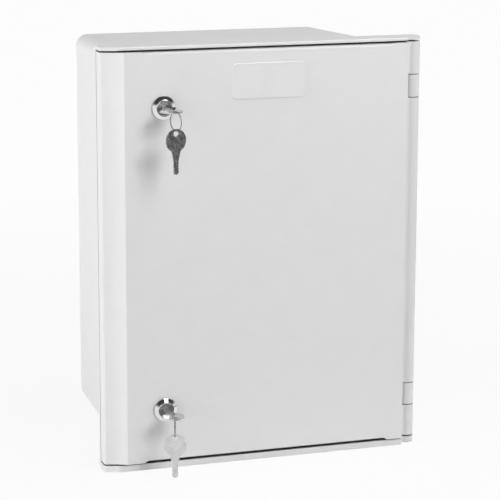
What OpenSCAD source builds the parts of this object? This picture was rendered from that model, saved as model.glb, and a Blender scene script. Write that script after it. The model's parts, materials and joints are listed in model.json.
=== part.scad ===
// Wall-mounted polyester enclosure with a hinged door and two key-operated cam locks.
// Frame: +X to the hinge side, +Y into the wall, +Z up, origin at the middle of the wall face.

/* [Enclosure] */
// Overall width of the front frame and of the door
enclosure_w = 400; // [360:1:480]
// Height of the door
door_h = 493; // [440:1:600]
// Depth of the tub, from the wall to the back of its flange
tub_depth = 246; // [160:1:320]
// Wall thickness of the tub at its back
tub_wall = 4; // [3:0.5:5]
// Thickness of the tub's back wall
back_wall = 5; // [4:0.5:8]
// Overhang of the flange beyond the tub's side walls
side_overhang = 28.5; // [20:0.5:34]
// Step between the frame's lips and the tub's top and bottom walls
end_step = 4; // [4:0.5:10]
// Draft of each side wall over the tub's depth
side_draft = 9; // [5:0.5:12]
// Draft of the top and bottom walls over the tub's depth
end_draft = 6; // [5:0.5:10]
// Thickening of the tub's walls from the back to the mouth
mouth_step = 4; // [3.5:0.5:4.5]
// Corner radius of the tub at its flange
tub_corner_r = 14; // [10:1:24]
// Rounding of the tub's rear edge
rear_edge_r = 4; // [2:0.5:6]

/* [Front frame] */
// Thickness of the flange round the tub's mouth
flange_t = 6; // [4:0.5:9]
// Thickness of the lip above the door
top_lip_t = 4; // [3:0.5:7]
// Thickness of the lip below the door
bottom_lip_t = 7.5; // [5:0.5:10]
// Setback of both lips behind the door's front face
lip_setback = 4; // [2:0.5:6]
// Gap between the door's ends and the lips
lip_gap = 2; // [1:0.1:2.5]
// Gap between the door's skirt and the flange
seam_gap = 2; // [0.8:0.1:2.2]
// Height of the sealing rim in front of the flange
rim_h = 18; // [14:0.5:19]
// Thickness of the sealing rim
rim_t = 3; // [2.5:0.5:4]

/* [Door] */
// Depth of the door, from its skirt edge to its front face
door_depth = 27; // [26:0.1:34]
// Wall thickness of the door
door_wall = 3; // [2.5:0.5:4]
// Thickness of the door's top and bottom walls
door_end_wall = 4.5; // [4:0.5:5]
// Width of the scooped bevel along the lock side
bevel_w = 26; // [18:1:34]
// Depth of the scooped bevel
bevel_d = 10; // [7:0.5:12]
// Hollow of the scooped bevel below its chord
bevel_sag = 1.6; // [0.8:0.1:2]
// Height of the reliefs along the top and bottom edges
relief_h = 3; // [2:0.5:4]
// Depth of these reliefs
relief_d = 7; // [5:0.5:9]
// Inset of the reliefs from the bevel and from the hinge side
relief_inset = 8; // [6:1:24]
// Radius of the reliefs' ends
relief_r = 20; // [10:1:30]
// Width of the bare raised plate near the top
plate_w = 90; // [60:1:120]
// Height of the bare raised plate
plate_h = 42; // [30:1:60]
// Corner radius of that plate
plate_corner_r = 5.5; // [3:0.5:12]
// How far that plate stands out
plate_raise = 1.2; // [0.6:0.1:1.6]
// Offset of that plate from the door's middle towards the hinges
plate_offset = 1.5; // [-20:0.5:20]
// Distance from the door's top edge to that plate
plate_from_top = 17; // [12:1:40]

/* [Hinge] */
// Radius of the hinge column along the door's edge
column_r = 8.5; // [8:0.1:8.8]
// Distance from the front panel's edge to the door's outer edge
column_zone = 20.5; // [19.5:0.5:24]
// Distance of the hinge axis in front of the flange
axis_stand = 10.2; // [10.1:0.1:12]
// Length of each hinge knuckle
knuckle_len = 27; // [20:1:40]
// Distance from the door's top and bottom edges to the knuckles
knuckle_from_end = 40; // [30:1:60]
// Gap above and below each knuckle
knuckle_gap = 1; // [0.6:0.1:1.5]
// Radius of the hinge pins
pin_r = 2.5; // [2:0.1:3]
// How far each pin reaches into the door's column on both sides
pin_reach = 18; // [12:1:24]

/* [Locks] */
// Distance of the locks from the door's left edge
lock_from_edge = 72.6; // [66:0.1:74]
// Distance of the locks from the door's top and bottom edges
lock_from_end = 65; // [50:0.5:90]
// Radius of the lock's rosette
rosette_r = 14; // [13:0.5:16]
// Height of the rosette in front of the door
rosette_h = 5; // [4.5:0.5:6]
// Radius of the lock's barrel
barrel_r = 9.5; // [9:0.1:10]
// Length of the barrel behind the door's front face
barrel_len = 20; // [19:0.5:21]
// Radius of the turning plug
plug_r = 6.2; // [5.8:0.1:6.8]
// Length of the cam from the plug's axis to its tip
cam_reach = 29.5; // [28:0.5:32]
// Width of the cam
cam_w = 14; // [12:0.5:16]
// Thickness of the cam
cam_t = 2.5; // [2:0.1:3]

/* [Keys] */
// Overall length of a key
key_len = 53; // [50:0.5:58]
// Thickness of a key
key_t = 1.6; // [1.4:0.1:1.8]
// Radius of the key's bow
bow_r = 13.5; // [13:0.1:14]
// Radius of the hole in the bow
bow_hole_r = 3.6; // [3.5:0.1:3.8]
// Distance from the middle of the bow to its hole
bow_hole_offset = 8.2; // [8:0.1:8.4]
// Width of the key's blade
blade_w = 7; // [6:0.5:8]
// Distance of the inserted key's bow in front of the door
bow_stand = 33; // [30:0.5:36]
// Mean radius of a key ring
ring_r = 11.25; // [11:0.05:12]
// Radius of the ring's wire
wire_r = 0.65; // [0.5:0.05:0.7]
// Turn of the upper key ring about the vertical
upper_ring_turn = 17; // [-20:1:20]
// Turn of the lower key ring about the vertical
lower_ring_turn = -18; // [-20:1:20]

/* [Inside] */
// Width of the mounting plate
panel_w = 266; // [200:1:270]
// Height of the mounting plate
panel_h = 426; // [300:1:430]
// Thickness of the mounting plate
panel_t = 2; // [1.5:0.5:3]
// Distance of the mounting plate's holes from its edges
panel_hole_inset = 13; // [10:1:20]
// Length of the bosses that carry the mounting plate
boss_len = 19; // [15:1:40]
// Radius of these bosses
boss_r = 7; // [6:0.5:8]
// Distance of the wall fixing holes from the edges of the tub's back
fixing_inset = 17.5; // [15:0.5:18]
// Radius of the wall fixing holes
fixing_r = 4.25; // [3:0.25:5]

/* [Hidden] */
$fn = 48;
eps = 0.01;
running_gap = 0.05;
seat_gap = 0.25;

half_w = enclosure_w / 2;
door_top = door_h / 2;
lip_z = door_top + lip_gap;
y_flange_back = -tub_depth;
y_flange = y_flange_back - flange_t;
y_rim = y_flange - rim_h;
y_skirt = y_flange - seam_gap;
y_front = y_skirt - door_depth;
y_inner = y_front + door_wall;

// Half sizes of the tub and of its mouth
tub_x = half_w - side_overhang;
tub_z = lip_z - end_step;
mouth_x = tub_x - tub_wall - mouth_step;
mouth_z = tub_z - tub_wall - mouth_step;
rim_x = mouth_x + rim_t;
rim_z = mouth_z + rim_t;
mouth_ledge = 0.5;
mouth_corner_r = tub_corner_r - tub_wall;
rim_corner_r = mouth_corner_r + rim_t;

// Hinge axis and the edge of the door's front panel beside it
axis_x = half_w - column_r;
axis_y = y_flange - axis_stand;
panel_edge_x = half_w - column_zone;
web_y = 6.5;
upper_knuckle_z = door_top - knuckle_from_end - knuckle_len;
lower_knuckle_z = -door_top + knuckle_from_end;
knuckle_r = column_r - 0.2;
pin_len = knuckle_len + 2 * pin_reach;

// Scooped bevel: chord from the skirt's corner to the flat front
bevel_start = [-half_w, y_front + bevel_d];
bevel_end = [-half_w + bevel_w, y_front];
bevel_chord = norm(bevel_end - bevel_start);
bevel_dir = (bevel_end - bevel_start) / bevel_chord;
bevel_out = [bevel_dir[1], -bevel_dir[0]];
bevel_r = bevel_chord * bevel_chord / (8 * bevel_sag) + bevel_sag / 2;
bevel_centre = (bevel_start + bevel_end) / 2 + bevel_out * (bevel_r - bevel_sag);
bevel_inset = bevel_start - bevel_out * (door_wall + bevel_sag);
skirt_corner_r = 5;
front_corner_r = 3;

// Gasket on the door's inner face, centred on the sealing rim
gasket_w = 6.5;
gasket_x = rim_x + (gasket_w - rim_t) / 2;
gasket_z = rim_z + (gasket_w - rim_t) / 2;
gasket_t = y_rim - seat_gap - y_inner;
channel_t = 2;
channel_h = 3.5;

// Lock stack, measured outwards from the door's front face
lock_x = -half_w + lock_from_edge;
lock_z = door_top - lock_from_end;
seal_t = 0.8;
seal_r = rosette_r - 0.8;
nut_t = 4;
nut_flats = 24;
plug_head_r = plug_r + 2;
plug_face = rosette_h - 0.4;
plug_step = 2.6;
keyway_depth = key_len - bow_r - bow_stand + seat_gap;
cam_z = -barrel_len - seat_gap;
tail_w = 7;
tail_end = cam_z - cam_t - 0.1;
screw_hole_r = 1.75;
cam_screw_head_r = 5.5;
cam_screw_head_t = 2.4;

// Keepers on the sealing rim: the lip lies just in front of the turned cam
keeper_t = 2.5;
keeper_h = 34;
keeper_lip = 9;
y_cam_front = y_front - cam_z;
y_keeper = y_cam_front - 0.5 - keeper_t;
keeper_d = 10;
keeper_screw_r = 1.5;
keeper_screw_z = 12;
keeper_head_r = 2.8;
keeper_head_t = 1.6;
keeper_screw_y = y_keeper + keeper_t + (keeper_d - keeper_t) / 2;

// Key and ring: the ring hangs on the strip between the bow's hole and its edge
neck_w = 12;
neck_end = bow_hole_offset + bow_r + 9;
key_tip = key_len - bow_r + bow_hole_offset;
neck_sink = 2;
tip_w = 2;
tip_taper = 2;
first_cut = 3.6;
cut_depth = 1.3;
cut_pitch = 3.4;
groove_w = 1.2;
groove_d = 0.4;
ring_drop = ring_r - wire_r - key_t / 2 - 0.35;
ring_forward = 4.9;
spare_drop = bow_hole_r - wire_r - seat_gap;

// Wall fixing holes
fixing_x = tub_x - side_draft - fixing_inset;
fixing_z = tub_z - end_draft - fixing_inset;

// Mounting plate and its fasteners
panel_x = panel_w / 2 - panel_hole_inset;
panel_z = panel_h / 2 - panel_hole_inset;
y_panel = -back_wall - boss_len;
panel_screw_r = 2.95;
panel_hole_r = 3.3;
insert_r = 4;
insert_len = 12;
washer_r = 6.2;
washer_t = 1.6;
panel_head_r = 5;
panel_head_t = 4;
panel_screw_len = panel_t + washer_t + insert_len - 2;

grey = [0.83, 0.84, 0.83];
steel = [0.75, 0.76, 0.78];
dark_steel = [0.45, 0.45, 0.47];
zinc = [0.7, 0.71, 0.72];
brass_yellow = [0.8, 0.65, 0.3];
black_rubber = [0.12, 0.12, 0.12];

// Points of the arc that rounds corner q between its neighbours a and b
function corner_arc(a, q, b, r, steps = 6) =
    let (u = (a - q) / norm(a - q), v = (b - q) / norm(b - q),
        half = acos(u * v) / 2,
        centre = q + (u + v) / norm(u + v) * r / sin(half),
        from = q + u * r / tan(half) - centre,
        to = q + v * r / tan(half) - centre,
        start = atan2(from[1], from[0]),
        turn = atan2(from[0] * to[1] - from[1] * to[0], from * to))
    [for (i = [0 : steps]) centre + r * [cos(start + turn * i / steps), sin(start + turn * i / steps)]];

// Rectangle with round corners, about its middle
module round_rect(w, h, r) {
    square([w - 2 * r, h], center = true);
    square([w, h - 2 * r], center = true);
    for (x = [-1, 1], z = [-1, 1])
        translate([x * (w / 2 - r), z * (h / 2 - r)]) circle(r);
}

// Upright slab of a front-view outline, from depth y forwards by t
module upright(y, t) {
    translate([0, y, 0]) rotate([90, 0, 0]) linear_extrude(t) children();
}

// Upright slab with round corners
module slab(y, t, w, h, r) {
    upright(y, t) round_rect(w, h, r);
}

// Thin cross-section of the tub, for its drafted walls
module tub_section(y, x, z, r) {
    slab(y, eps, 2 * x, 2 * z, r, $fn = 32);
}

// Outline of the door seen from above: skirt, scooped bevel, flat front and hinge column
module door_plan() {
    skirt = [-half_w, y_skirt];
    edge = [panel_edge_x, y_front];
    edge_back = [panel_edge_x, y_skirt];
    difference() {
        polygon(concat([skirt],
            corner_arc(skirt, bevel_start, bevel_end, skirt_corner_r),
            corner_arc(bevel_start, bevel_end, edge, front_corner_r),
            corner_arc(bevel_end, edge, edge_back, front_corner_r),
            [edge_back]));
        translate(bevel_centre) circle(bevel_r, $fn = 180);
    }
    translate([panel_edge_x - eps, axis_y - web_y])
        square([axis_x - panel_edge_x, 2 * web_y]);
    translate([axis_x, axis_y]) circle(column_r);
}

// Hollow of the door seen from above, open towards the tub
module door_hollow_plan() {
    slope = bevel_dir[1] / bevel_dir[0];
    inner_left = -half_w + door_wall;
    start_y = bevel_inset[1] + (inner_left - bevel_inset[0]) * slope;
    end_x = bevel_inset[0] + (y_inner - bevel_inset[1]) / slope;
    polygon([[inner_left, y_skirt + 1], [inner_left, start_y], [end_x, y_inner],
        [panel_edge_x - door_wall, y_inner], [panel_edge_x - door_wall, y_skirt + 1]]);
}

// Cutter for the bevelled relief along the door's upper front edge
module edge_relief() {
    from = -half_w + bevel_w + relief_inset;
    to = panel_edge_x - relief_inset;
    reach = relief_h + relief_d;
    translate([0, y_front, door_top - relief_h])
        rotate([atan2(relief_h, relief_d), 0, 0])
            linear_extrude(reach) {
                translate([from + relief_r, 0]) square([to - from - 2 * relief_r, 2 * relief_r]);
                for (x = [from + relief_r, to - relief_r]) translate([x, relief_r]) circle(relief_r);
            }
}

// Lip of the front frame that covers one end of the door, from height z upwards
module lip(z, t) {
    translate([0, 0, z]) linear_extrude(t) {
        intersection() {
            door_plan();
            translate([-half_w, y_front + lip_setback]) square([enclosure_w, door_depth]);
        }
        translate([-half_w, y_skirt - eps]) square([enclosure_w, y_flange - y_skirt + 2 * eps]);
        translate([panel_edge_x - eps, axis_y]) square([column_zone + eps, y_flange - axis_y]);
    }
}

// Body half of one hinge, on the flange
module knuckle(z) {
    translate([0, 0, z]) linear_extrude(knuckle_len) {
        translate([axis_x, axis_y]) circle(knuckle_r);
        translate([axis_x - knuckle_r, axis_y]) square([2 * knuckle_r, y_flange - axis_y + eps]);
    }
}

// Places its children at the four corners of a rectangle on the wall plane
module at_corners(x, z) {
    for (sx = [-1, 1], sz = [-1, 1]) translate([sx * x, 0, sz * z]) children();
}

// Round bar along -Y from depth y
module bar_y(y, r, len) {
    translate([0, y, 0]) rotate([90, 0, 0]) cylinder(r = r, h = len);
}

module tub() color(grey) {
    flange_h = 2 * lip_z + top_lip_t + bottom_lip_t;
    difference() {
        union() {
            hull() {
                tub_section(0, tub_x - side_draft - rear_edge_r, tub_z - end_draft - rear_edge_r,
                    tub_corner_r - rear_edge_r);
                tub_section(-rear_edge_r, tub_x - side_draft, tub_z - end_draft, tub_corner_r);
                tub_section(y_flange_back, tub_x, tub_z, tub_corner_r);
            }
            translate([0, 0, (top_lip_t - bottom_lip_t) / 2])
                slab(y_flange_back, flange_t, enclosure_w, flange_h, front_corner_r);
            slab(y_flange + eps, rim_h + eps, 2 * rim_x, 2 * rim_z, rim_corner_r);
            lip(lip_z, top_lip_t);
            lip(-lip_z - bottom_lip_t, bottom_lip_t);
            for (z = [upper_knuckle_z, lower_knuckle_z]) knuckle(z);
        }
        hull() {
            tub_section(-back_wall, tub_x - side_draft - tub_wall, tub_z - end_draft - tub_wall,
                mouth_corner_r);
            tub_section(y_flange_back, mouth_x - mouth_ledge, mouth_z - mouth_ledge,
                mouth_corner_r - mouth_ledge);
        }
        slab(y_flange_back, flange_t + rim_h + 1, 2 * mouth_x, 2 * mouth_z, mouth_corner_r);
        at_corners(fixing_x, fixing_z) bar_y(1, fixing_r, back_wall + 2);
        for (z = [upper_knuckle_z, lower_knuckle_z])
            translate([axis_x, axis_y, z - 1]) cylinder(r = pin_r + running_gap, h = knuckle_len + 2);
        for (side = [-1, 1], step = [-1, 1])
            translate([-rim_x - 1, keeper_screw_y, side * lock_z + step * keeper_screw_z])
                rotate([0, 90, 0]) cylinder(r = keeper_screw_r + running_gap, h = rim_t + 2);
    }
    difference() {
        at_corners(panel_x, panel_z) bar_y(-back_wall + 1, boss_r, boss_len + 1);
        at_corners(panel_x, panel_z)
            bar_y(y_panel + insert_len + seat_gap, insert_r + running_gap, insert_len + 1);
    }
}

module door() color(grey) {
    knuckle_room = knuckle_len + 2 * knuckle_gap;
    difference() {
        union() {
            difference() {
                translate([0, 0, -door_top]) linear_extrude(door_h) door_plan();
                translate([0, 0, -door_top + door_end_wall])
                    linear_extrude(door_h - 2 * door_end_wall) door_hollow_plan();
            }
            translate([plate_offset, 0, door_top - plate_from_top - plate_h / 2])
                slab(y_front + eps, plate_raise + eps, plate_w, plate_h, plate_corner_r);
            upright(y_inner + channel_h, channel_h + eps) difference() {
                round_rect(2 * (gasket_x - gasket_w), 2 * (gasket_z - gasket_w), rim_corner_r - 4);
                round_rect(2 * (gasket_x - gasket_w - channel_t), 2 * (gasket_z - gasket_w - channel_t),
                    rim_corner_r - 6);
            }
        }
        edge_relief();
        mirror([0, 0, 1]) edge_relief();
        for (z = [upper_knuckle_z, lower_knuckle_z])
            translate([axis_x - column_r - knuckle_gap, axis_y - column_r - 1, z - knuckle_gap])
                cube([2 * column_r + knuckle_gap + 1, 2 * column_r + 4, knuckle_room]);
        translate([axis_x, axis_y, upper_knuckle_z - pin_reach - 1])
            cylinder(r = pin_r + running_gap, h = door_top);
        translate([axis_x, axis_y, lower_knuckle_z + knuckle_len + pin_reach + 1 - door_top])
            cylinder(r = pin_r + running_gap, h = door_top);
        for (side = [-1, 1]) at_lock(side)
            translate([0, 0, -door_wall - 1]) cylinder(r = barrel_r + running_gap, h = door_wall + 2);
    }
}

module door_gasket() color(black_rubber)
    upright(y_inner + gasket_t, gasket_t) difference() {
        round_rect(2 * gasket_x, 2 * gasket_z, rim_corner_r);
        round_rect(2 * (gasket_x - gasket_w) + 2 * seat_gap, 2 * (gasket_z - gasket_w) + 2 * seat_gap,
            rim_corner_r - 4);
    }

module hinge_pin(knuckle_z) color(steel)
    translate([axis_x, axis_y, knuckle_z - pin_reach]) cylinder(r = pin_r, h = pin_len);

// Lock frame: +z out of the door, +x to the right, +y up, on the door's front face
module at_lock(side) {
    translate([lock_x, y_front, side * lock_z]) rotate([90, 0, 0]) children();
}

module lock_housing(side) color(steel) at_lock(side) {
    crown_r = plug_head_r + 1.6;
    bore = plug_r + running_gap;
    counterbore = plug_head_r + running_gap;
    rotate_extrude() polygon(concat(
        [[bore, -barrel_len], [barrel_r, -barrel_len], [barrel_r, seal_t], [rosette_r, seal_t]],
        [for (i = [0 : 8]) [crown_r + (rosette_r - crown_r) * cos(90 * i / 8),
            seal_t + 1 + (rosette_h - seal_t - 1) * sin(90 * i / 8)]],
        [[counterbore, rosette_h - 0.6], [counterbore, plug_step - seat_gap], [bore, plug_step - seat_gap]]));
}

module lock_seal(side) color(black_rubber) at_lock(side)
    difference() {
        cylinder(r = seal_r, h = seal_t);
        translate([0, 0, -1]) cylinder(r = barrel_r + running_gap, h = seal_t + 2);
    }

module lock_nut(side) color(zinc) at_lock(side)
    translate([0, 0, -door_wall - nut_t]) difference() {
        cylinder(r = nut_flats / 2 / cos(30), h = nut_t, $fn = 6);
        translate([0, 0, -1]) cylinder(r = barrel_r + running_gap, h = nut_t + 2);
    }

module lock_plug(side) color(steel) at_lock(side)
    difference() {
        union() {
            translate([0, 0, plug_step]) cylinder(r = plug_head_r, h = plug_face - plug_step);
            translate([0, 0, cam_z]) cylinder(r = plug_r, h = plug_step - cam_z);
            translate([-tail_w / 2, -tail_w / 2, tail_end]) cube([tail_w, tail_w, cam_z - tail_end + eps]);
        }
        translate([-blade_w / 2 - 0.2, -key_t / 2 - 0.1, -keyway_depth])
            cube([blade_w + 0.4, key_t + 0.2, keyway_depth + rosette_h]);
        translate([0, 0, tail_end - 1]) cylinder(r = screw_hole_r, h = 7);
    }

module lock_cam(side) color(zinc) at_lock(side)
    translate([0, 0, cam_z - cam_t]) linear_extrude(cam_t) difference() {
        union() {
            circle(cam_w / 2 + 1);
            translate([-cam_w / 2, -cam_reach + 3]) square([cam_w, cam_reach - 3]);
            translate([-cam_w / 2 + 3, -cam_reach]) square([cam_w - 6, 4]);
            for (x = [-1, 1]) translate([x * (cam_w / 2 - 3), -cam_reach + 3]) circle(3);
        }
        square(tail_w + 2 * running_gap, center = true);
    }

module cam_screw(side) color(zinc) at_lock(side)
    difference() {
        union() {
            translate([0, 0, tail_end - 0.1 - cam_screw_head_t])
                cylinder(r = cam_screw_head_r, h = cam_screw_head_t);
            translate([0, 0, tail_end - 0.2]) cylinder(r = screw_hole_r - running_gap, h = 5.5);
        }
        for (turn = [0, 90]) rotate([0, 0, turn])
            translate([-3, -0.5, tail_end - cam_screw_head_t - 0.2]) cube([6, 1, 1.4]);
    }

// Flat key, about the hole in its bow, with the blade towards -y
module key_plate() {
    shoulder = -neck_end;
    tip = -key_tip;
    neck = -bow_hole_offset - bow_r + neck_sink;
    difference() {
        union() {
            translate([0, -bow_hole_offset, 0]) cylinder(r = bow_r, h = key_t, center = true);
            linear_extrude(key_t, center = true)
                polygon([[-neck_w / 2, neck], [neck_w / 2, neck], [blade_w / 2, shoulder],
                    [blade_w / 2, tip + tip_taper], [tip_w / 2, tip], [-tip_w / 2, tip],
                    [-blade_w / 2, tip + tip_taper], [-blade_w / 2, shoulder]]);
        }
        cylinder(r = bow_hole_r, h = 2 * key_t, center = true);
        for (i = [0 : 3], flank = [-1, 1])
            translate([flank * blade_w / 2, tip + first_cut + (i + (flank + 1) / 6) * cut_pitch, 0])
                rotate(45) cube([cut_depth, cut_depth, 2 * key_t] * (i % 2 == 0 ? 1 : 1.4), center = true);
        translate([-groove_w / 2, tip - 1, key_t / 2 - groove_d])
            cube([groove_w, key_tip - neck_end + 5, key_t]);
    }
}

module key(side) color(steel) at_lock(side)
    translate([0, 0, bow_stand + bow_hole_offset]) rotate([90, 0, 0]) key_plate();

// Middle of a key ring, and the lowest point of its wire
function ring_turn(side) = side > 0 ? upper_ring_turn : lower_ring_turn;
function ring_centre(side) = [lock_x, y_front - bow_stand - bow_hole_offset, side * lock_z - ring_drop]
    + ring_forward * [sin(ring_turn(side)), -cos(ring_turn(side)), 0];

module key_ring(side) color(steel)
    translate(ring_centre(side)) rotate([0, 90, ring_turn(side)])
        rotate_extrude() translate([ring_r, 0]) circle(wire_r, $fn = 24);

module spare_key(side) color(side > 0 ? dark_steel : steel)
    translate(ring_centre(side) - [0, 0, ring_r + spare_drop])
        rotate([90, 0, ring_turn(side)]) key_plate();

module keeper(side) color(zinc)
    translate([-mouth_x, 0, side * lock_z - keeper_h / 2]) difference() {
        union() {
            translate([0, y_keeper, 0]) cube([keeper_t, keeper_d, keeper_h]);
            translate([0, y_keeper, keeper_h / 2 - cam_w / 2 - 2])
                cube([keeper_t + keeper_lip, keeper_t, cam_w + 4]);
        }
        for (step = [-1, 1])
            translate([-1, keeper_screw_y, keeper_h / 2 + step * keeper_screw_z])
                rotate([0, 90, 0]) cylinder(r = keeper_screw_r + running_gap, h = keeper_t + 2);
    }

module keeper_screws() color(zinc)
    for (side = [-1, 1], step = [-1, 1])
        translate([-mouth_x, keeper_screw_y, side * lock_z + step * keeper_screw_z]) rotate([0, 90, 0])
            difference() {
                union() {
                    translate([0, 0, -rim_t]) cylinder(r = keeper_screw_r, h = rim_t + keeper_t + eps);
                    translate([0, 0, keeper_t]) cylinder(r = keeper_head_r, h = keeper_head_t);
                }
                translate([-2, -0.4, keeper_t + keeper_head_t - 0.7]) cube([4, 0.8, 1]);
            }

module mounting_plate() color(zinc)
    difference() {
        slab(y_panel, panel_t, panel_w, panel_h, 6);
        at_corners(panel_x, panel_z) bar_y(y_panel + 1, panel_hole_r, panel_t + 2);
    }

module plate_screws() color(zinc)
    at_corners(panel_x, panel_z) difference() {
        union() {
            bar_y(y_panel - panel_t - washer_t + panel_screw_len, panel_screw_r, panel_screw_len + eps);
            bar_y(y_panel - panel_t - washer_t, panel_head_r, panel_head_t);
        }
        translate([0, y_panel - panel_t - washer_t - panel_head_t + 2.5, 0]) rotate([90, 0, 0])
            cylinder(r = 2.9, h = 4, $fn = 6);
    }

module plate_washers() color(zinc)
    at_corners(panel_x, panel_z) difference() {
        bar_y(y_panel - panel_t, washer_r, washer_t);
        bar_y(y_panel - panel_t + 1, panel_hole_r, washer_t + 2);
    }

module threaded_inserts() color(brass_yellow)
    at_corners(panel_x, panel_z) difference() {
        bar_y(y_panel + insert_len, insert_r, insert_len);
        bar_y(y_panel + insert_len + 1, panel_screw_r + running_gap, insert_len + 2);
    }

tub();
door();
door_gasket();
hinge_pin(upper_knuckle_z);  // upper_hinge_pin
hinge_pin(lower_knuckle_z);  // lower_hinge_pin
lock_housing(1);  // upper_lock_housing
lock_housing(-1);  // lower_lock_housing
lock_seal(1);  // upper_lock_seal
lock_seal(-1);  // lower_lock_seal
lock_nut(1);  // upper_lock_nut
lock_nut(-1);  // lower_lock_nut
lock_plug(1);  // upper_lock_plug
lock_plug(-1);  // lower_lock_plug
lock_cam(1);  // upper_lock_cam
lock_cam(-1);  // lower_lock_cam
cam_screw(1);  // upper_cam_screw
cam_screw(-1);  // lower_cam_screw
key(1);  // upper_key
key(-1);  // lower_key
key_ring(1);  // upper_key_ring
key_ring(-1);  // lower_key_ring
spare_key(1);  // upper_spare_key
spare_key(-1);  // lower_spare_key
keeper(1);  // upper_keeper
keeper(-1);  // lower_keeper
keeper_screws();
mounting_plate();
plate_screws();
plate_washers();
threaded_inserts();
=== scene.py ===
import json
import logging
import math
from collections.abc import Callable, Iterable
from dataclasses import dataclass, field
from enum import Enum
from typing import TypeVar

import bmesh
import bpy
from mathutils import Matrix, Vector


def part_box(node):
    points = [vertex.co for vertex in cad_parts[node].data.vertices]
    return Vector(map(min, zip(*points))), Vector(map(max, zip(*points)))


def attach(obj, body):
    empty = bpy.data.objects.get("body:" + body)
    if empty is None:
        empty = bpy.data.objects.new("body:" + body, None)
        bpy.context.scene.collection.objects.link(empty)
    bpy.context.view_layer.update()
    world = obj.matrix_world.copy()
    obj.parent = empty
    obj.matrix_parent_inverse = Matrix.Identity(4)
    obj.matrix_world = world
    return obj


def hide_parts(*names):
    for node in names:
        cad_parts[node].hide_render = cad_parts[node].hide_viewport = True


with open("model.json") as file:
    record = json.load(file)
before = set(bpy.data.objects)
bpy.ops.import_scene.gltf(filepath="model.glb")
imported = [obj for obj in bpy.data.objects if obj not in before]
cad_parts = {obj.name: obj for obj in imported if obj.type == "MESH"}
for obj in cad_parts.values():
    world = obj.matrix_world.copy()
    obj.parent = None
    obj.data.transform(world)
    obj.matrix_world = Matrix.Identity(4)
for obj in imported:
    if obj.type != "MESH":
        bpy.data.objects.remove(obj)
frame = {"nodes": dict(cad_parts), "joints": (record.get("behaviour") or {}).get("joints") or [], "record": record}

LOG = logging.getLogger("enclosure")
MM = 0.001
IMAGE_SIDE = 500
SENSOR_MM = 36.0

Item = TypeVar("Item")
Colour = tuple[float, float, float]
Point = tuple[float, float, float]
Span = tuple[float, float]
Spread = tuple[float, float, float, float]
Socket = bpy.types.NodeSocket
Edges = list[bmesh.types.BMEdge]
Faces = list[bmesh.types.BMFace]


class Place(Enum):
    """The two ends of the door that carry a lock and its keys."""

    UPPER = "upper"
    LOWER = "lower"

    def node(self, name: str) -> str:
        """Name of this end's own node or joint."""
        return f"{self.value}_{name}"


class Slot(Enum):
    """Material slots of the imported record."""

    POLYESTER = "polyester"
    GASKET = "gasket"
    PIN_STEEL = "pin_steel"
    LOCK_CHROME = "lock_chrome"
    KEY_STEEL = "key_steel"
    RING_WIRE = "ring_wire"
    ZINC = "zinc"
    PANEL_STEEL = "panel_steel"
    BRASS = "brass"


def grey(level: float) -> Colour:
    """A neutral colour."""
    return (level, level, level)


def mapped(tree: bpy.types.NodeTree, value: Socket, source: Span, result: Span,
           ease: str = "LINEAR") -> Socket:
    """Maps a value from one range to another and holds it at the ends.

    Args:
        tree: Node tree to add to.
        value: Value to map.
        source: Values that give the two ends of the result.
        result: The two ends of the result.
        ease: How the result runs between its ends.

    Returns:
        The mapped value.
    """
    node = tree.nodes.new("ShaderNodeMapRange")
    node.interpolation_type = ease
    for name, number in zip(("From Min", "From Max", "To Min", "To Max"), source + result):
        node.inputs[name].default_value = number
    tree.links.new(value, node.inputs["Value"])
    return node.outputs["Result"]


def combined(tree: bpy.types.NodeTree, operation: str, first: Socket, second: Socket) -> Socket:
    """Joins two values by an operation of the Math node.

    Args:
        tree: Node tree to add to.
        operation: Name of the operation.
        first: First value.
        second: Second value.

    Returns:
        The joined value.
    """
    node = tree.nodes.new("ShaderNodeMath")
    node.operation = operation
    tree.links.new(first, node.inputs[0])
    tree.links.new(second, node.inputs[1])
    return node.outputs[0]


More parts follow.
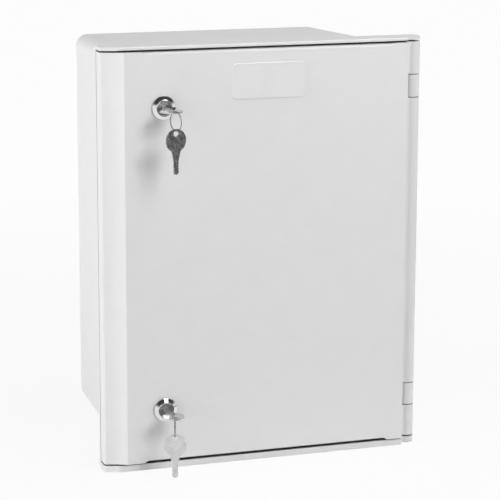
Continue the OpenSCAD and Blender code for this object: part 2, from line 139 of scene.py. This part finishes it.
class Shading:
    """Node tree of one procedural material on Object coordinates."""

    def __init__(self, name: str) -> None:
        """Starts a material with a Principled shader.

        Args:
            name: Name of the material.
        """
        self.material = bpy.data.materials.new(name)
        self.material.use_nodes = True
        self.tree = self.material.node_tree
        self.nodes = self.tree.nodes
        self.links = self.tree.links
        self.shader = self.nodes["Principled BSDF"]
        self.coords = self.nodes.new("ShaderNodeTexCoord").outputs["Object"]

    def set(self, **values: object) -> None:
        """Sets constants on the shader's own sockets, named with underscores for spaces."""
        for name, value in values.items():
            self.shader.inputs[name.replace("_", " ")].default_value = value

    def feed(self, name: str, value: Socket) -> None:
        """Links a texture value to one of the shader's sockets."""
        self.links.new(value, self.shader.inputs[name])

    def stretched(self, stretch: Point) -> Socket:
        """Object coordinates scaled along each axis.

        Args:
            stretch: Scale along x, y and z.

        Returns:
            The scaled coordinates.
        """
        mapping = self.nodes.new("ShaderNodeMapping")
        mapping.inputs["Scale"].default_value = stretch
        self.links.new(self.coords, mapping.inputs["Vector"])
        return mapping.outputs["Vector"]

    def noise(self, per_metre: float, detail: float = 2.0, coords: Socket | None = None) -> Socket:
        """Noise from 0 to 1.

        Args:
            per_metre: Features per metre.
            detail: Octaves of finer noise.
            coords: Coordinates to use in place of the plain ones.

        Returns:
            The noise value.
        """
        node = self.nodes.new("ShaderNodeTexNoise")
        node.inputs["Scale"].default_value = per_metre
        node.inputs["Detail"].default_value = detail
        self.links.new(coords or self.coords, node.inputs["Vector"])
        return node.outputs["Fac"]

    def cells(self, per_metre: float) -> Socket:
        """Random colour of each cell of a Voronoi pattern.

        Args:
            per_metre: Cells per metre.

        Returns:
            The cell's colour.
        """
        node = self.nodes.new("ShaderNodeTexVoronoi")
        node.inputs["Scale"].default_value = per_metre
        self.links.new(self.coords, node.inputs["Vector"])
        return node.outputs["Color"]

    def spread(self, value: Socket, result: Span = (0.0, 1.0), source: Span = (0.3, 0.7)) -> Socket:
        """Maps a texture value, by default from the range where most noise lies."""
        return mapped(self.tree, value, source, result)

    def tint(self, factor: Socket, dark: Colour, light: Colour | Socket) -> Socket:
        """Mixes two colours by a texture value.

        Args:
            factor: Value from 0 to 1.
            dark: Colour at 0.
            light: Colour at 1, plain or from a texture.

        Returns:
            The mixed colour.
        """
        node = self.nodes.new("ShaderNodeMix")
        node.data_type = "RGBA"
        first, second = (socket for socket in node.inputs if socket.type == "RGBA")
        first.default_value = (*dark, 1.0)
        if isinstance(light, tuple):
            second.default_value = (*light, 1.0)
        else:
            self.links.new(light, second)
        self.links.new(factor, node.inputs["Factor"])
        return next(socket for socket in node.outputs if socket.type == "RGBA")

    def gap(self, width: float, sky: Span) -> Socket:
        """How open a spot is: 0 deep in a narrow gap, 1 on a free surface.

        Args:
            width: Width of gap that counts as narrow, in metres.
            sky: Shares of free sky that give 0 and 1.

        Returns:
            The openness.
        """
        node = self.nodes.new("ShaderNodeAmbientOcclusion")
        node.samples = 8
        node.inputs["Distance"].default_value = width
        return self.spread(node.outputs["AO"], source=sky)

    def relief(self, height: Socket, strength: float, depth: float) -> None:
        """Adds a bump on top of those that the shader's normal already has.

        Args:
            height: Texture value.
            strength: Strength of the bump.
            depth: Height of the bump in metres.
        """
        node = self.nodes.new("ShaderNodeBump")
        node.inputs["Strength"].default_value = strength
        node.inputs["Distance"].default_value = depth
        self.links.new(height, node.inputs["Height"])
        below = self.shader.inputs["Normal"].links
        if below:
            self.links.new(below[0].from_socket, node.inputs["Normal"])
        self.feed("Normal", node.outputs["Normal"])


@dataclass(frozen=True)
class MouldedPolyester:
    """Pale grey moulded polyester with a fine skin, faint mottling, and painted shade that darkens its narrow
    gaps.
    """

    pale: Colour = grey(0.730)
    mottle: Colour = grey(0.716)
    mottle_per_metre: float = 55.0
    specular: float = 0.42
    coat: float = 0.20
    coat_roughness: float = 0.16
    roughness: Span = (0.32, 0.42)
    # Painted shade: the colour that narrow gaps darken towards, how narrow a gap must be, and the shares of free
    # sky over which the darkening fades.
    painted_gap_shade: Colour = grey(0.10)
    painted_gap_shade_width: float = 0.005
    painted_gap_shade_sky: Span = (0.12, 0.55)
    skin_per_metre: float = 620.0
    skin_strength: float = 0.16
    skin_depth: float = 0.00012
    sheen_coarser: float = 3.0
    wave_per_metre: float = 9.0
    wave_strength: float = 0.12
    wave_depth: float = 0.0005

    def build(self) -> bpy.types.Material:
        """Makes the finish.

        Returns:
            Its material.
        """
        s = Shading("moulded_polyester")
        s.set(Specular_IOR_Level=self.specular, Coat_Weight=self.coat, Coat_Roughness=self.coat_roughness)
        clean = s.tint(s.spread(s.noise(self.mottle_per_metre, detail=6.0)), self.mottle, self.pale)
        # Painted shade: the base colour darkens to near black deep in narrow gaps, where shade falls between
        # parts.
        s.feed("Base Color", s.tint(s.gap(self.painted_gap_shade_width, self.painted_gap_shade_sky), self.painted_gap_shade, clean))
        sheen = s.noise(self.skin_per_metre / self.sheen_coarser, detail=3.0)
        s.feed("Roughness", s.spread(sheen, self.roughness))
        s.relief(s.noise(self.wave_per_metre, detail=1.0), self.wave_strength, self.wave_depth)
        s.relief(s.noise(self.skin_per_metre), self.skin_strength, self.skin_depth)
        return s.material


@dataclass(frozen=True)
class PlatedMetal:
    """Bare or plated metal with a fine grain, and a little haze in its polish."""

    name: str
    tone: Colour
    worn: Colour
    roughness: Span
    grain_per_metre: float = 900.0
    grain_stretch: Point = (1.0, 1.0, 1.0)
    grain_strength: float = 0.2
    grain_depth: float = 0.00002
    haze_per_metre: float = 120.0

    def build(self) -> bpy.types.Material:
        """Makes the finish.

        Returns:
            Its material.
        """
        s = Shading(self.name)
        s.set(Metallic=1.0)
        grain = s.noise(self.grain_per_metre, detail=3.0, coords=s.stretched(self.grain_stretch))
        haze = s.spread(s.noise(self.haze_per_metre, detail=4.0))
        s.feed("Base Color", s.tint(haze, self.worn, self.tone))
        s.feed("Roughness", s.spread(grain, self.roughness))
        s.relief(grain, self.grain_strength, self.grain_depth)
        return s.material


@dataclass(frozen=True)
class GalvanisedSheet:
    """Galvanised steel with its spangle of zinc crystals."""

    dull: Colour = (0.50, 0.52, 0.54)
    bright: Colour = (0.66, 0.68, 0.70)
    crystals_per_metre: float = 95.0
    roughness: Span = (0.32, 0.52)
    grain_per_metre: float = 400.0
    grain_strength: float = 0.1
    grain_depth: float = 0.00004

    def build(self) -> bpy.types.Material:
        """Makes the finish.

        Returns:
            Its material.
        """
        s = Shading("galvanised_sheet")
        s.set(Metallic=1.0)
        crystals = s.cells(self.crystals_per_metre)
        s.feed("Base Color", s.tint(crystals, self.dull, self.bright))
        s.feed("Roughness", s.spread(crystals, self.roughness, source=(0.0, 1.0)))
        s.relief(s.noise(self.grain_per_metre, detail=3.0), self.grain_strength, self.grain_depth)
        return s.material


@dataclass(frozen=True)
class FoamRubber:
    """Black cellular rubber of the seals."""

    skin: Colour = (0.030, 0.030, 0.031)
    pores: Colour = grey(0.014)
    pores_per_metre: float = 1400.0
    pore_strength: float = 0.5
    pore_depth: float = 0.0002
    roughness: Span = (0.75, 0.9)

    def build(self) -> bpy.types.Material:
        """Makes the finish.

        Returns:
            Its material.
        """
        s = Shading("foam_rubber")
        pores = s.noise(self.pores_per_metre)
        s.feed("Base Color", s.tint(s.spread(pores), self.pores, self.skin))
        s.feed("Roughness", s.spread(pores, self.roughness))
        s.relief(pores, self.pore_strength, self.pore_depth)
        return s.material


Finish = MouldedPolyester | PlatedMetal | GalvanisedSheet | FoamRubber

FINISHES: dict[Slot, Finish] = {
    Slot.POLYESTER: MouldedPolyester(),
    Slot.GASKET: FoamRubber(),
    Slot.PIN_STEEL: PlatedMetal("ground_steel", (0.62, 0.62, 0.63), (0.50, 0.50, 0.51), (0.22, 0.34),
                                grain_stretch=(1.0, 1.0, 0.1)),
    Slot.LOCK_CHROME: PlatedMetal("lock_chrome", (0.80, 0.80, 0.81), (0.72, 0.72, 0.73), (0.04, 0.10),
                                  grain_depth=0.000004),
    Slot.KEY_STEEL: PlatedMetal("nickel_key", (0.68, 0.68, 0.67), (0.56, 0.56, 0.55), (0.18, 0.30),
                                grain_per_metre=3200.0, grain_stretch=(1.0, 1.0, 0.25), grain_depth=0.00001),
    Slot.RING_WIRE: PlatedMetal("ring_wire", (0.34, 0.34, 0.35), (0.22, 0.22, 0.23), (0.08, 0.18)),
    Slot.ZINC: PlatedMetal("zinc_plate", (0.66, 0.68, 0.70), (0.52, 0.54, 0.55), (0.26, 0.42)),
    Slot.PANEL_STEEL: GalvanisedSheet(),
    Slot.BRASS: PlatedMetal("insert_brass", (0.72, 0.52, 0.22), (0.56, 0.38, 0.14), (0.24, 0.36)),
}

# Nodes that look darker in the photograph than the rest of their slot: the lock plugs by their finish, and the
# upper spare key by painted reflection.
# Painted reflection: this darker nickel stands in for the dark zone that the tilted upper spare key mirrors. It is
# the same key steel as the lower spare key.
UPPER_KEY_PAINTED_DARK = PlatedMetal("upper_key_painted_dark_reflection", grey(0.60), grey(0.20), (0.22, 0.36), grain_per_metre=3200.0,
                       grain_stretch=(1.0, 1.0, 0.25), grain_depth=0.00001, haze_per_metre=260.0)
PLUG_NICKEL = PlatedMetal("plug_nickel", grey(0.40), grey(0.16), (0.14, 0.28), haze_per_metre=420.0)
NODE_FINISHES_AND_PAINTED_REFLECTION: dict[str, Finish] = {
    Place.UPPER.node("spare_key"): UPPER_KEY_PAINTED_DARK,
    Place.UPPER.node("lock_plug"): PLUG_NICKEL,
    Place.LOWER.node("lock_plug"): PLUG_NICKEL,
}


class Wardrobe:
    """Builds the finishes and dresses pieces with them."""

    def __init__(self) -> None:
        """Makes every finish's material."""
        self.of_slot = {slot: finish.build() for slot, finish in FINISHES.items()}
        self.of_node_finish_and_painted_reflection = {node: finish.build() for node, finish in NODE_FINISHES_AND_PAINTED_REFLECTION.items()}

    def dress(self, piece: bpy.types.Object, node: str, slot: Slot) -> None:
        """Gives a piece its node's own finish, with painted reflection for the upper spare key, or else its
        slot's.

        Args:
            piece: Object to dress.
            node: Node that the piece stands for.
            slot: Slot of that node in the record.
        """
        piece.data.materials.clear()
        piece.data.materials.append(self.of_node_finish_and_painted_reflection.get(node, self.of_slot[slot]))


def grouped(items: Iterable[Item], near: Callable[[Item], Iterable[Item]]) -> list[list[Item]]:
    """Sorts items into groups that are joined through neighbours.

    Args:
        items: Items to sort.
        near: Gives the neighbours of an item.

    Returns:
        The groups, in the order of their first items.
    """
    left = dict.fromkeys(items)
    groups = []
    while left:
        group = [next(iter(left))]
        del left[group[0]]
        for item in group:
            for other in near(item):
                if other in left:
                    del left[other]
                    group.append(other)
        groups.append(group)
    return groups


def islands(edges: Edges) -> list[Edges]:
    """Sorts edges into groups that share no corner."""
    return grouped(edges, lambda edge: [other for corner in edge.verts for other in corner.link_edges])


def fans(vert: bmesh.types.BMVert) -> list[Faces]:
    """Groups the faces round a corner that shade as one surface, parted by sharp edges."""
    pairs = [list(edge.link_faces) for edge in vert.link_edges if edge.smooth]
    return grouped(vert.link_faces, lambda face: [other for pair in pairs if face in pair for other in pair])


def sharp_edges(bm: bmesh.types.BMesh, angle: float) -> Edges:
    """Edges of a mesh whose faces meet at more than an angle."""
    return [edge for edge in bm.edges if edge.is_manifold and edge.calc_face_angle() > angle]


@dataclass(frozen=True)
class EdgeRounding:
    """How the sharp edges of a moulded or cut piece are broken.

    Attributes:
        radius: Radius where the faces beside an edge are wide enough for it.
        fine_radius: Radius of the edges that are still sharp then.
        segments: Faces across a rounding.
        sharpest_smooth: Turn past which an edge is rounded.
        still_sharp: Turn past which an edge gets the fine radius, and past which it shades as an edge.
        room: Least width of a wide enough face, in radii.
        merge: Corners nearer than this are one corner.
        flat: Faces that turn by less than this are one face.
        flap_area: Greatest area of a face that a rounding leaves hanging.
    """

    radius: float
    fine_radius: float
    segments: int = 3
    sharpest_smooth: float = math.radians(28.0)
    still_sharp: float = math.radians(40.0)
    room: float = 2.5
    merge: float = 0.00001
    flat: float = math.radians(0.4)
    flap_area: float = 1e-9

    def break_edges(self, bm: bmesh.types.BMesh) -> None:
        """Rounds a solid's sharp edges, those beside narrow faces with the fine radius.

        Args:
            bm: Mesh to change.
        """
        sharp = sharp_edges(bm, self.sharpest_smooth)
        self.round_off(bm, [edge for edge in sharp if self.has_room(edge)], self.radius)
        self.settle(bm)
        self.round_off(bm, sharp_edges(bm, self.still_sharp), self.fine_radius)
        self.settle(bm)

    def has_room(self, edge: bmesh.types.BMEdge) -> bool:
        """Whether both faces beside an edge are wide enough for the full radius."""
        widths = [2 * face.calc_area() / face.calc_perimeter() for face in edge.link_faces]
        return min(widths) > self.room * self.radius

    def round_off(self, bm: bmesh.types.BMesh, edges: Edges, radius: float) -> None:
        """Rounds edges, one connected group at a time.

        Args:
            bm: Mesh to change.
            edges: Edges to round.
            radius: Radius of the rounding.
        """
        for group in islands(edges):
            bmesh.ops.bevel(bm, geom=[edge for edge in group if edge.is_valid], affect="EDGES",
                            offset=radius, offset_type="OFFSET", segments=self.segments, profile=0.5,
                            material=-1, clamp_overlap=True)

    def settle(self, bm: bmesh.types.BMesh) -> None:
        """Merges corners that a rounding drew together, and takes out the faces that this folds.

        Args:
            bm: Mesh to change.
        """
        bmesh.ops.remove_doubles(bm, verts=bm.verts, dist=self.merge)
        twins: dict[frozenset[bmesh.types.BMVert], Faces] = {}
        for face in bm.faces:
            twins.setdefault(frozenset(face.verts), []).append(face)
        folded = [face for group in twins.values() if len(group) > 1 for face in group]
        bmesh.ops.delete(bm, geom=folded, context="FACES_ONLY")
        bmesh.ops.delete(bm, geom=[edge for edge in bm.edges if edge.is_wire], context="EDGES")
        while flaps := self.flaps(bm):
            bmesh.ops.delete(bm, geom=flaps, context="FACES")

    def flaps(self, bm: bmesh.types.BMesh) -> Faces:
        """Tiny faces with a free edge."""
        rim = dict.fromkeys(face for edge in bm.edges if edge.is_boundary for face in edge.link_faces)
        return [face for face in rim if face.calc_area() < self.flap_area]


@dataclass(frozen=True)
class Spindle:
    """Axis that a piece is turned about, with the direction out from it in which the profile stands."""

    centre: Vector
    axis: Vector
    out: Vector
    steps: int = 96


@dataclass
class Maker:
    """Makes pieces for the frame's nodes and hands them to their bodies.

    Attributes:
        wardrobe: Finishes of the pieces.
        wide_face: Area past which a face counts as a wall, in square metres.
        wide_turn: Greatest angle between walls that shade as one surface.
        body_of: Body of each node.
        slot_of: Material slot of each node.
    """

    wardrobe: Wardrobe
    wide_face: float = 0.003
    wide_turn: float = math.radians(5.0)
    body_of: dict[str, str] = field(init=False)
    slot_of: dict[str, Slot] = field(init=False)

    def __post_init__(self) -> None:
        """Reads each node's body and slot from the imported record."""
        record = frame["record"]
        bodies = record["behaviour"]["bodies"]
        self.body_of = {node: body for body, nodes in bodies.items() for node in nodes}
        self.slot_of = {part["node"]: Slot(part["material_slot"]) for part in record["subparts"]}

    def soften(self, node: str, edge: EdgeRounding) -> None:
        """Replaces a node by a copy of its solid with rounded edges.

        Args:
            node: CAD node to copy and replace.
            edge: Rounding of the edges.
        """
        bm = bmesh.new()
        bm.from_mesh(frame["nodes"][node].data)
        bmesh.ops.remove_doubles(bm, verts=bm.verts, dist=edge.merge)
        bmesh.ops.dissolve_limit(bm, angle_limit=edge.flat, verts=bm.verts, edges=bm.edges)
        edge.break_edges(bm)
        self.hand_over(bm, node, edge.still_sharp)

    def turn(self, node: str, profile: list[Span], spindle: Spindle, edge: EdgeRounding) -> None:
        """Replaces a node by a closed profile turned about a spindle, as on a lathe.

        Args:
            node: CAD node to replace.
            profile: Corners of the profile: distance from the axis, and distance along it.
            spindle: Axis of the turning.
            edge: Rounding of the turned edges.
        """
        bm = bmesh.new()
        corners = [bm.verts.new(spindle.centre + spindle.out * far + spindle.axis * along)
                   for far, along in profile]
        loop = [bm.edges.new(pair) for pair in zip(corners, corners[1:] + corners[:1])]
        bmesh.ops.spin(bm, geom=corners + loop, cent=spindle.centre, axis=spindle.axis,
                       dvec=(0.0, 0.0, 0.0), angle=math.tau, steps=spindle.steps, use_merge=True,
                       use_normal_flip=False, use_duplicate=False)
        bmesh.ops.remove_doubles(bm, verts=bm.verts, dist=edge.merge)
        bmesh.ops.recalc_face_normals(bm, faces=bm.faces)
        edge.round_off(bm, sharp_edges(bm, edge.sharpest_smooth), edge.radius)
        self.hand_over(bm, node, edge.still_sharp)

    def even_shading(self, bm: bmesh.types.BMesh, smooth: float) -> None:
        """Stores corner normals that follow the widest faces, so that flat walls shade flat.

        Args:
            bm: Mesh to shade.
            smooth: Greatest angle between faces that shade as one surface.
        """
        bm.normal_update()
        area = {face: face.calc_area() for face in bm.faces}
        for edge in bm.edges:
            walls = all(area[face] > self.wide_face for face in edge.link_faces)
            limit = self.wide_turn if walls else smooth
            edge.smooth = edge.is_manifold and edge.calc_face_angle() <= limit
        layer = bm.loops.layers.float_vector.new("even_normal")
        for vert in bm.verts:
            for fan in fans(vert):
                normal = sum((face.normal * area[face] for face in fan), Vector()).normalized()
                for corner in (loop for face in fan for loop in face.loops if loop.vert is vert):
                    corner[layer] = normal

    def hand_over(self, bm: bmesh.types.BMesh, node: str, smooth: float) -> None:
        """Turns a bmesh into the piece that stands for a node.

        Args:
            bm: Finished mesh in the frame's metres; it is freed.
            node: CAD node that the piece replaces.
            smooth: Greatest angle between faces that shade as one surface.
        """
        self.even_shading(bm, smooth)
        mesh = bpy.data.meshes.new(f"{node}_skin")
        bm.to_mesh(mesh)
        bm.free()
        # Blender shades by the attribute of this name, and the one copied from the CAD mesh no longer fits.
        if "custom_normal" in mesh.attributes:
            mesh.attributes.remove(mesh.attributes["custom_normal"])
        mesh.attributes["even_normal"].name = "custom_normal"
        mesh.polygons.foreach_set("use_smooth", [True] * len(mesh.polygons))
        piece = bpy.data.objects.new(f"{node}_skin", mesh)
        bpy.context.scene.collection.objects.link(piece)
        slot = self.slot_of[node]
        self.wardrobe.dress(piece, node, slot)
        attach(piece, self.body_of[node])
        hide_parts(node)
        LOG.info("%s: %d faces", piece.name, len(mesh.polygons))


@dataclass
class Shell:
    """Moulded tub and door with the hinge pins and the door's seal."""

    maker: Maker
    moulded_edge: EdgeRounding = EdgeRounding(1.0 * MM, 0.4 * MM)
    pin_edge: EdgeRounding = EdgeRounding(0.4 * MM, 0.2 * MM)
    seal_edge: EdgeRounding = EdgeRounding(0.8 * MM, 0.3 * MM)

    def build(self) -> None:
        """Makes the shell's pieces."""
        self.maker.soften("tub", self.moulded_edge)
        self.maker.soften("door", self.moulded_edge)
        self.maker.soften("door_gasket", self.seal_edge)
        for place in Place:
            self.maker.soften(place.node("hinge_pin"), self.pin_edge)


@dataclass
class CamLock:
    """One quarter-turn lock with its cam and keeper."""

    maker: Maker
    place: Place
    fine_edge: EdgeRounding = EdgeRounding(0.35 * MM, 0.12 * MM, segments=2)
    turned_edge: EdgeRounding = EdgeRounding(0.2 * MM, 0.1 * MM)
    barrel_radius: float = 9.5 * MM
    bore: float = 6.25 * MM
    plug_room: float = 8.25 * MM
    plug_seat: float = 2.65 * MM
    flange: float = 4.2 * MM
    crown_radius: float = 9.7 * MM
    cone_slope: float = math.radians(31.0)

    def build(self) -> None:
        """Makes the lock's pieces."""
        self.turn_housing()
        for name in ("lock_plug", "lock_nut", "lock_cam", "keeper", "lock_seal", "cam_screw"):
            self.maker.soften(self.place.node(name), self.fine_edge)

    def turn_housing(self) -> None:
        """Turns the barrel with its conical rosette, measured backwards from the rosette's front."""
        node = self.place.node("lock_housing")
        low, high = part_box(node)
        radius = (high[0] - low[0]) / 2
        length = high[1] - low[1]
        cone_end = (radius - self.crown_radius) * math.tan(self.cone_slope)
        profile = [(self.bore, length), (self.barrel_radius, length), (self.barrel_radius, self.flange),
                   (radius, self.flange), (radius, cone_end), (self.crown_radius, 0.0),
                   (self.plug_room, 0.0), (self.plug_room, self.plug_seat), (self.bore, self.plug_seat)]
        front = Vector(((low[0] + high[0]) / 2, low[1], (low[2] + high[2]) / 2))
        spindle = Spindle(front, Vector((0.0, 1.0, 0.0)), Vector((1.0, 0.0, 0.0)))
        self.maker.turn(node, profile, spindle, self.turned_edge)


@dataclass
class KeyRing:
    """Key in its lock, with a wire ring and a spare key on it."""

    maker: Maker
    place: Place
    stamped_edge: EdgeRounding = EdgeRounding(0.25 * MM, 0.1 * MM, segments=2)
    wire_edge: EdgeRounding = EdgeRounding(0.1 * MM, 0.05 * MM, segments=1,
                                           sharpest_smooth=math.radians(60.0))
    wire_radius: float = 0.65 * MM
    wire_sides: int = 16

    def build(self) -> None:
        """Makes the keys and the ring."""
        for name in ("key", "spare_key"):
            self.maker.soften(self.place.node(name), self.stamped_edge)
        self.bend_ring()

    def bend_ring(self) -> None:
        """Bends the ring's wire round the axis that the ring swings about."""
        node = self.place.node("key_ring")
        low, high = (Vector(corner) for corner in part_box(node))
        swing = next(j for j in frame["joints"] if j["name"] == self.place.node("ring_swing"))
        mean = (high.z - low.z) / 2 - self.wire_radius
        turns = [math.tau * i / self.wire_sides for i in range(self.wire_sides)]
        profile = [(mean + self.wire_radius * math.cos(t), self.wire_radius * math.sin(t)) for t in turns]
        spindle = Spindle((low + high) / 2, Vector(swing["axis"]).normalized(), Vector((0.0, 0.0, 1.0)))
        self.maker.turn(node, profile, spindle, self.wire_edge)


@dataclass
class Interior:
    """Mounting plate and the fasteners inside the tub."""

    maker: Maker
    plate_edge: EdgeRounding = EdgeRounding(0.35 * MM, 0.15 * MM, segments=2)

    def build(self) -> None:
        """Makes the plate and its fasteners."""
        for node in ("mounting_plate", "plate_screws", "plate_washers", "keeper_screws", "threaded_inserts"):
            self.maker.soften(node, self.plate_edge)


@dataclass(frozen=True)
class Softbox:
    """Rectangular studio lamp.

    Attributes:
        name: Name of the lamp.
        stand: Where it stands.
        aim: Point that it faces.
        size: Width and height.
        watts: Power.
        mirrored: Whether glossy surfaces show it.
    """

    name: str
    stand: Point
    aim: Point
    size: Span
    watts: float
    mirrored: bool = True

    def build(self) -> None:
        """Adds the lamp to the scene."""
        data = bpy.data.lights.new(self.name, "AREA")
        data.shape = "RECTANGLE"
        data.size, data.size_y = self.size
        data.energy = self.watts
        lamp = bpy.data.objects.new(self.name, data)
        lamp.location = self.stand
        lamp.rotation_mode = "QUATERNION"
        lamp.rotation_quaternion = (Vector(self.aim) - Vector(self.stand)).to_track_quat("-Z", "Y")
        lamp.visible_glossy = self.mirrored
        bpy.context.scene.collection.objects.link(lamp)


@dataclass
class Studio:
    """Floor, lamps, world and camera of the picture.

    Attributes:
        floor_side: Length of the square floor's side.
        floor_level: Height of the floor, just under the tub's lower lip.
        floor_white: Colour of the floor.
        floor_glow: Glow of the floor near the object, where its shadow falls, and far from it.
        shadow_reach: Distances from the origin at which those two glows hold.
        horizon: Strength of the world at the horizon.
        zenith: Strength of the world overhead.
        zenith_from: Sine of the elevation from which the world is as dim as overhead.
        cards: Ground that each dark card covers.
        card_lift: Height of the cards over the floor.
        card_grey: Colour of the cards.
        card_roughness: Roughness of the cards.
        eye: Place of the camera.
        yaw: Turn of the camera towards +X, from a view along +Y.
        look_down: Tilt of the camera below the horizontal.
        roll: Turn of the camera about its own axis.
        focal_pixels: Focal length in pixels of the picture.
        lamps: Studio lamps.
    """

    floor_side: float = 60.0
    floor_level: float = -0.2566
    floor_white: Colour = grey(0.70)
    floor_glow: Span = (0.91, 0.975)
    shadow_reach: Span = (0.4, 1.6)
    horizon: float = 1.0
    zenith: float = 0.06
    zenith_from: float = 0.38
    cards: tuple[Spread, ...] = ((-0.10, -3.60, 3.60, -0.50), (1.00, -0.50, 3.60, 0.60))
    card_lift: float = 0.0003
    card_grey: Colour = grey(0.03)
    card_roughness: float = 0.9
    eye: Point = (-0.7937, -2.6002, 0.5319)
    yaw: float = math.radians(18.42)
    look_down: float = math.radians(12.14)
    roll: float = math.radians(0.15)
    focal_pixels: float = 2100.0
    lamps: tuple[Softbox, ...] = (
        Softbox("key_lamp", (0.7, -2.3, 1.55), (0.0, -0.28, 0.0), (0.9, 0.9), 32.0),
        Softbox("left_fill", (-2.6, -0.95, 1.2), (0.0, -0.15, 0.0), (1.4, 1.6), 22.0, mirrored=False),
        Softbox("left_strip", (-2.8, -0.5, 0.2), (-0.2, -0.27, 0.0), (0.5, 0.85), 33.0, mirrored=False),
        Softbox("top_fill", (0.5, -0.5, 2.4), (0.0, -0.15, 0.0), (1.2, 1.2), 28.0),
        Softbox("right_fill", (2.5, -1.2, 0.3), (0.0, -0.2, 0.0), (0.8, 1.2), 7.0, mirrored=False),
    )

    def build(self) -> None:
        """Makes the studio."""
        self.make_floor()
        for number, spread in enumerate(self.cards):
            self.make_card(f"dark_card_{number}", spread)
        self.make_world()
        for lamp in self.lamps:
            lamp.build()
        self.make_camera()
        bpy.context.scene.view_settings.view_transform = "Standard"

    def lay_sheet(self, name: str, spread: Spread, level: float) -> bpy.types.Object:
        """Lays a flat sheet on the ground.

        Args:
            name: Name of the sheet.
            spread: Lowest x and y, then highest x and y.
            level: Height of the sheet.

        Returns:
            The sheet.
        """
        left, front, right, back = spread
        middle = ((left + right) / 2, (front + back) / 2, level)
        bm = bmesh.new()
        bmesh.ops.create_grid(bm, x_segments=1, y_segments=1, size=0.5)
        bmesh.ops.scale(bm, verts=bm.verts, vec=(right - left, back - front, 1.0))
        bmesh.ops.translate(bm, verts=bm.verts, vec=middle)
        mesh = bpy.data.meshes.new(name)
        bm.to_mesh(mesh)
        bm.free()
        sheet = bpy.data.objects.new(name, mesh)
        bpy.context.scene.collection.objects.link(sheet)
        return sheet

    def seen_glow(self, s: Shading) -> Socket:
        """Strength of the floor's glow, which only the camera and clear or mirror surfaces see.

        Args:
            s: Finish of the floor.

        Returns:
            The strength, lower near the object where its shadow falls, and 0 for every other ray.
        """
        path = s.nodes.new("ShaderNodeLightPath").outputs
        seen = path["Is Camera Ray"]
        for name in ("Is Glossy Ray", "Is Transmission Ray"):
            seen = combined(s.tree, "MAXIMUM", seen, path[name])
        away = s.nodes.new("ShaderNodeVectorMath")
        away.operation = "LENGTH"
        s.links.new(s.coords, away.inputs[0])
        level = mapped(s.tree, away.outputs["Value"], self.shadow_reach, self.floor_glow)
        return combined(s.tree, "MULTIPLY", seen, level)

    def make_floor(self) -> None:
        """Makes the pale floor, which keeps the object's shadow."""
        s = Shading("studio_floor")
        s.set(Base_Color=(*self.floor_white, 1.0), Roughness=1.0, Specular_IOR_Level=0.0)
        glow = s.nodes.new("ShaderNodeEmission")
        mix = s.nodes.new("ShaderNodeMixShader")
        s.links.new(self.seen_glow(s), mix.inputs["Fac"])
        s.links.new(s.shader.outputs["BSDF"], mix.inputs[1])
        s.links.new(glow.outputs["Emission"], mix.inputs[2])
        s.links.new(mix.outputs["Shader"], s.nodes["Material Output"].inputs["Surface"])
        half = self.floor_side / 2
        floor = self.lay_sheet("floor", (-half, -half, half, half), self.floor_level)
        floor.data.materials.append(s.material)

    def make_card(self, name: str, spread: Spread) -> None:
        """Lays a dark card on the floor that only reflections see, for contrast in the bright metal.

        Args:
            name: Name of the card.
            spread: Lowest x and y, then highest x and y.
        """
        s = Shading(name)
        s.set(Base_Color=(*self.card_grey, 1.0), Roughness=self.card_roughness)
        card = self.lay_sheet(name, spread, self.floor_level + self.card_lift)
        card.data.materials.append(s.material)
        card.visible_camera = False
        card.visible_diffuse = False
        card.visible_shadow = False

    def make_world(self) -> None:
        """Makes a surround that is white at the horizon and dim overhead."""
        world = bpy.data.worlds.new("studio_world")
        bpy.context.scene.world = world
        world.use_nodes = True
        tree = world.node_tree
        height = tree.nodes.new("ShaderNodeSeparateXYZ")
        tree.links.new(tree.nodes.new("ShaderNodeTexCoord").outputs["Generated"], height.inputs[0])
        strength = mapped(tree, height.outputs["Z"], (0.0, self.zenith_from),
                          (self.horizon, self.zenith), ease="SMOOTHSTEP")
        background = tree.nodes["Background"]
        background.inputs["Color"].default_value = (*grey(1.0), 1.0)
        tree.links.new(strength, background.inputs["Strength"])

    def make_camera(self) -> None:
        """Places the camera at the photograph's viewing angle."""
        data = bpy.data.cameras.new("camera")
        data.sensor_width = SENSOR_MM
        data.lens = self.focal_pixels / IMAGE_SIDE * SENSOR_MM
        camera = bpy.data.objects.new("camera", data)
        turn = (Matrix.Rotation(-self.yaw, 4, "Z") @ Matrix.Rotation(math.pi / 2 - self.look_down, 4, "X")
                @ Matrix.Rotation(self.roll, 4, "Z"))
        camera.matrix_world = Matrix.Translation(self.eye) @ turn
        bpy.context.scene.collection.objects.link(camera)
        bpy.context.scene.camera = camera


def main() -> None:
    """Builds the enclosure's looks and the studio round it."""
    logging.basicConfig(level=logging.INFO, format="%(name)s: %(message)s")
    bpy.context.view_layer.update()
    maker = Maker(Wardrobe())
    Shell(maker).build()
    for place in Place:
        CamLock(maker, place).build()
        KeyRing(maker, place).build()
    Interior(maker).build()
    Studio().build()


if __name__ == "__main__":
    main()
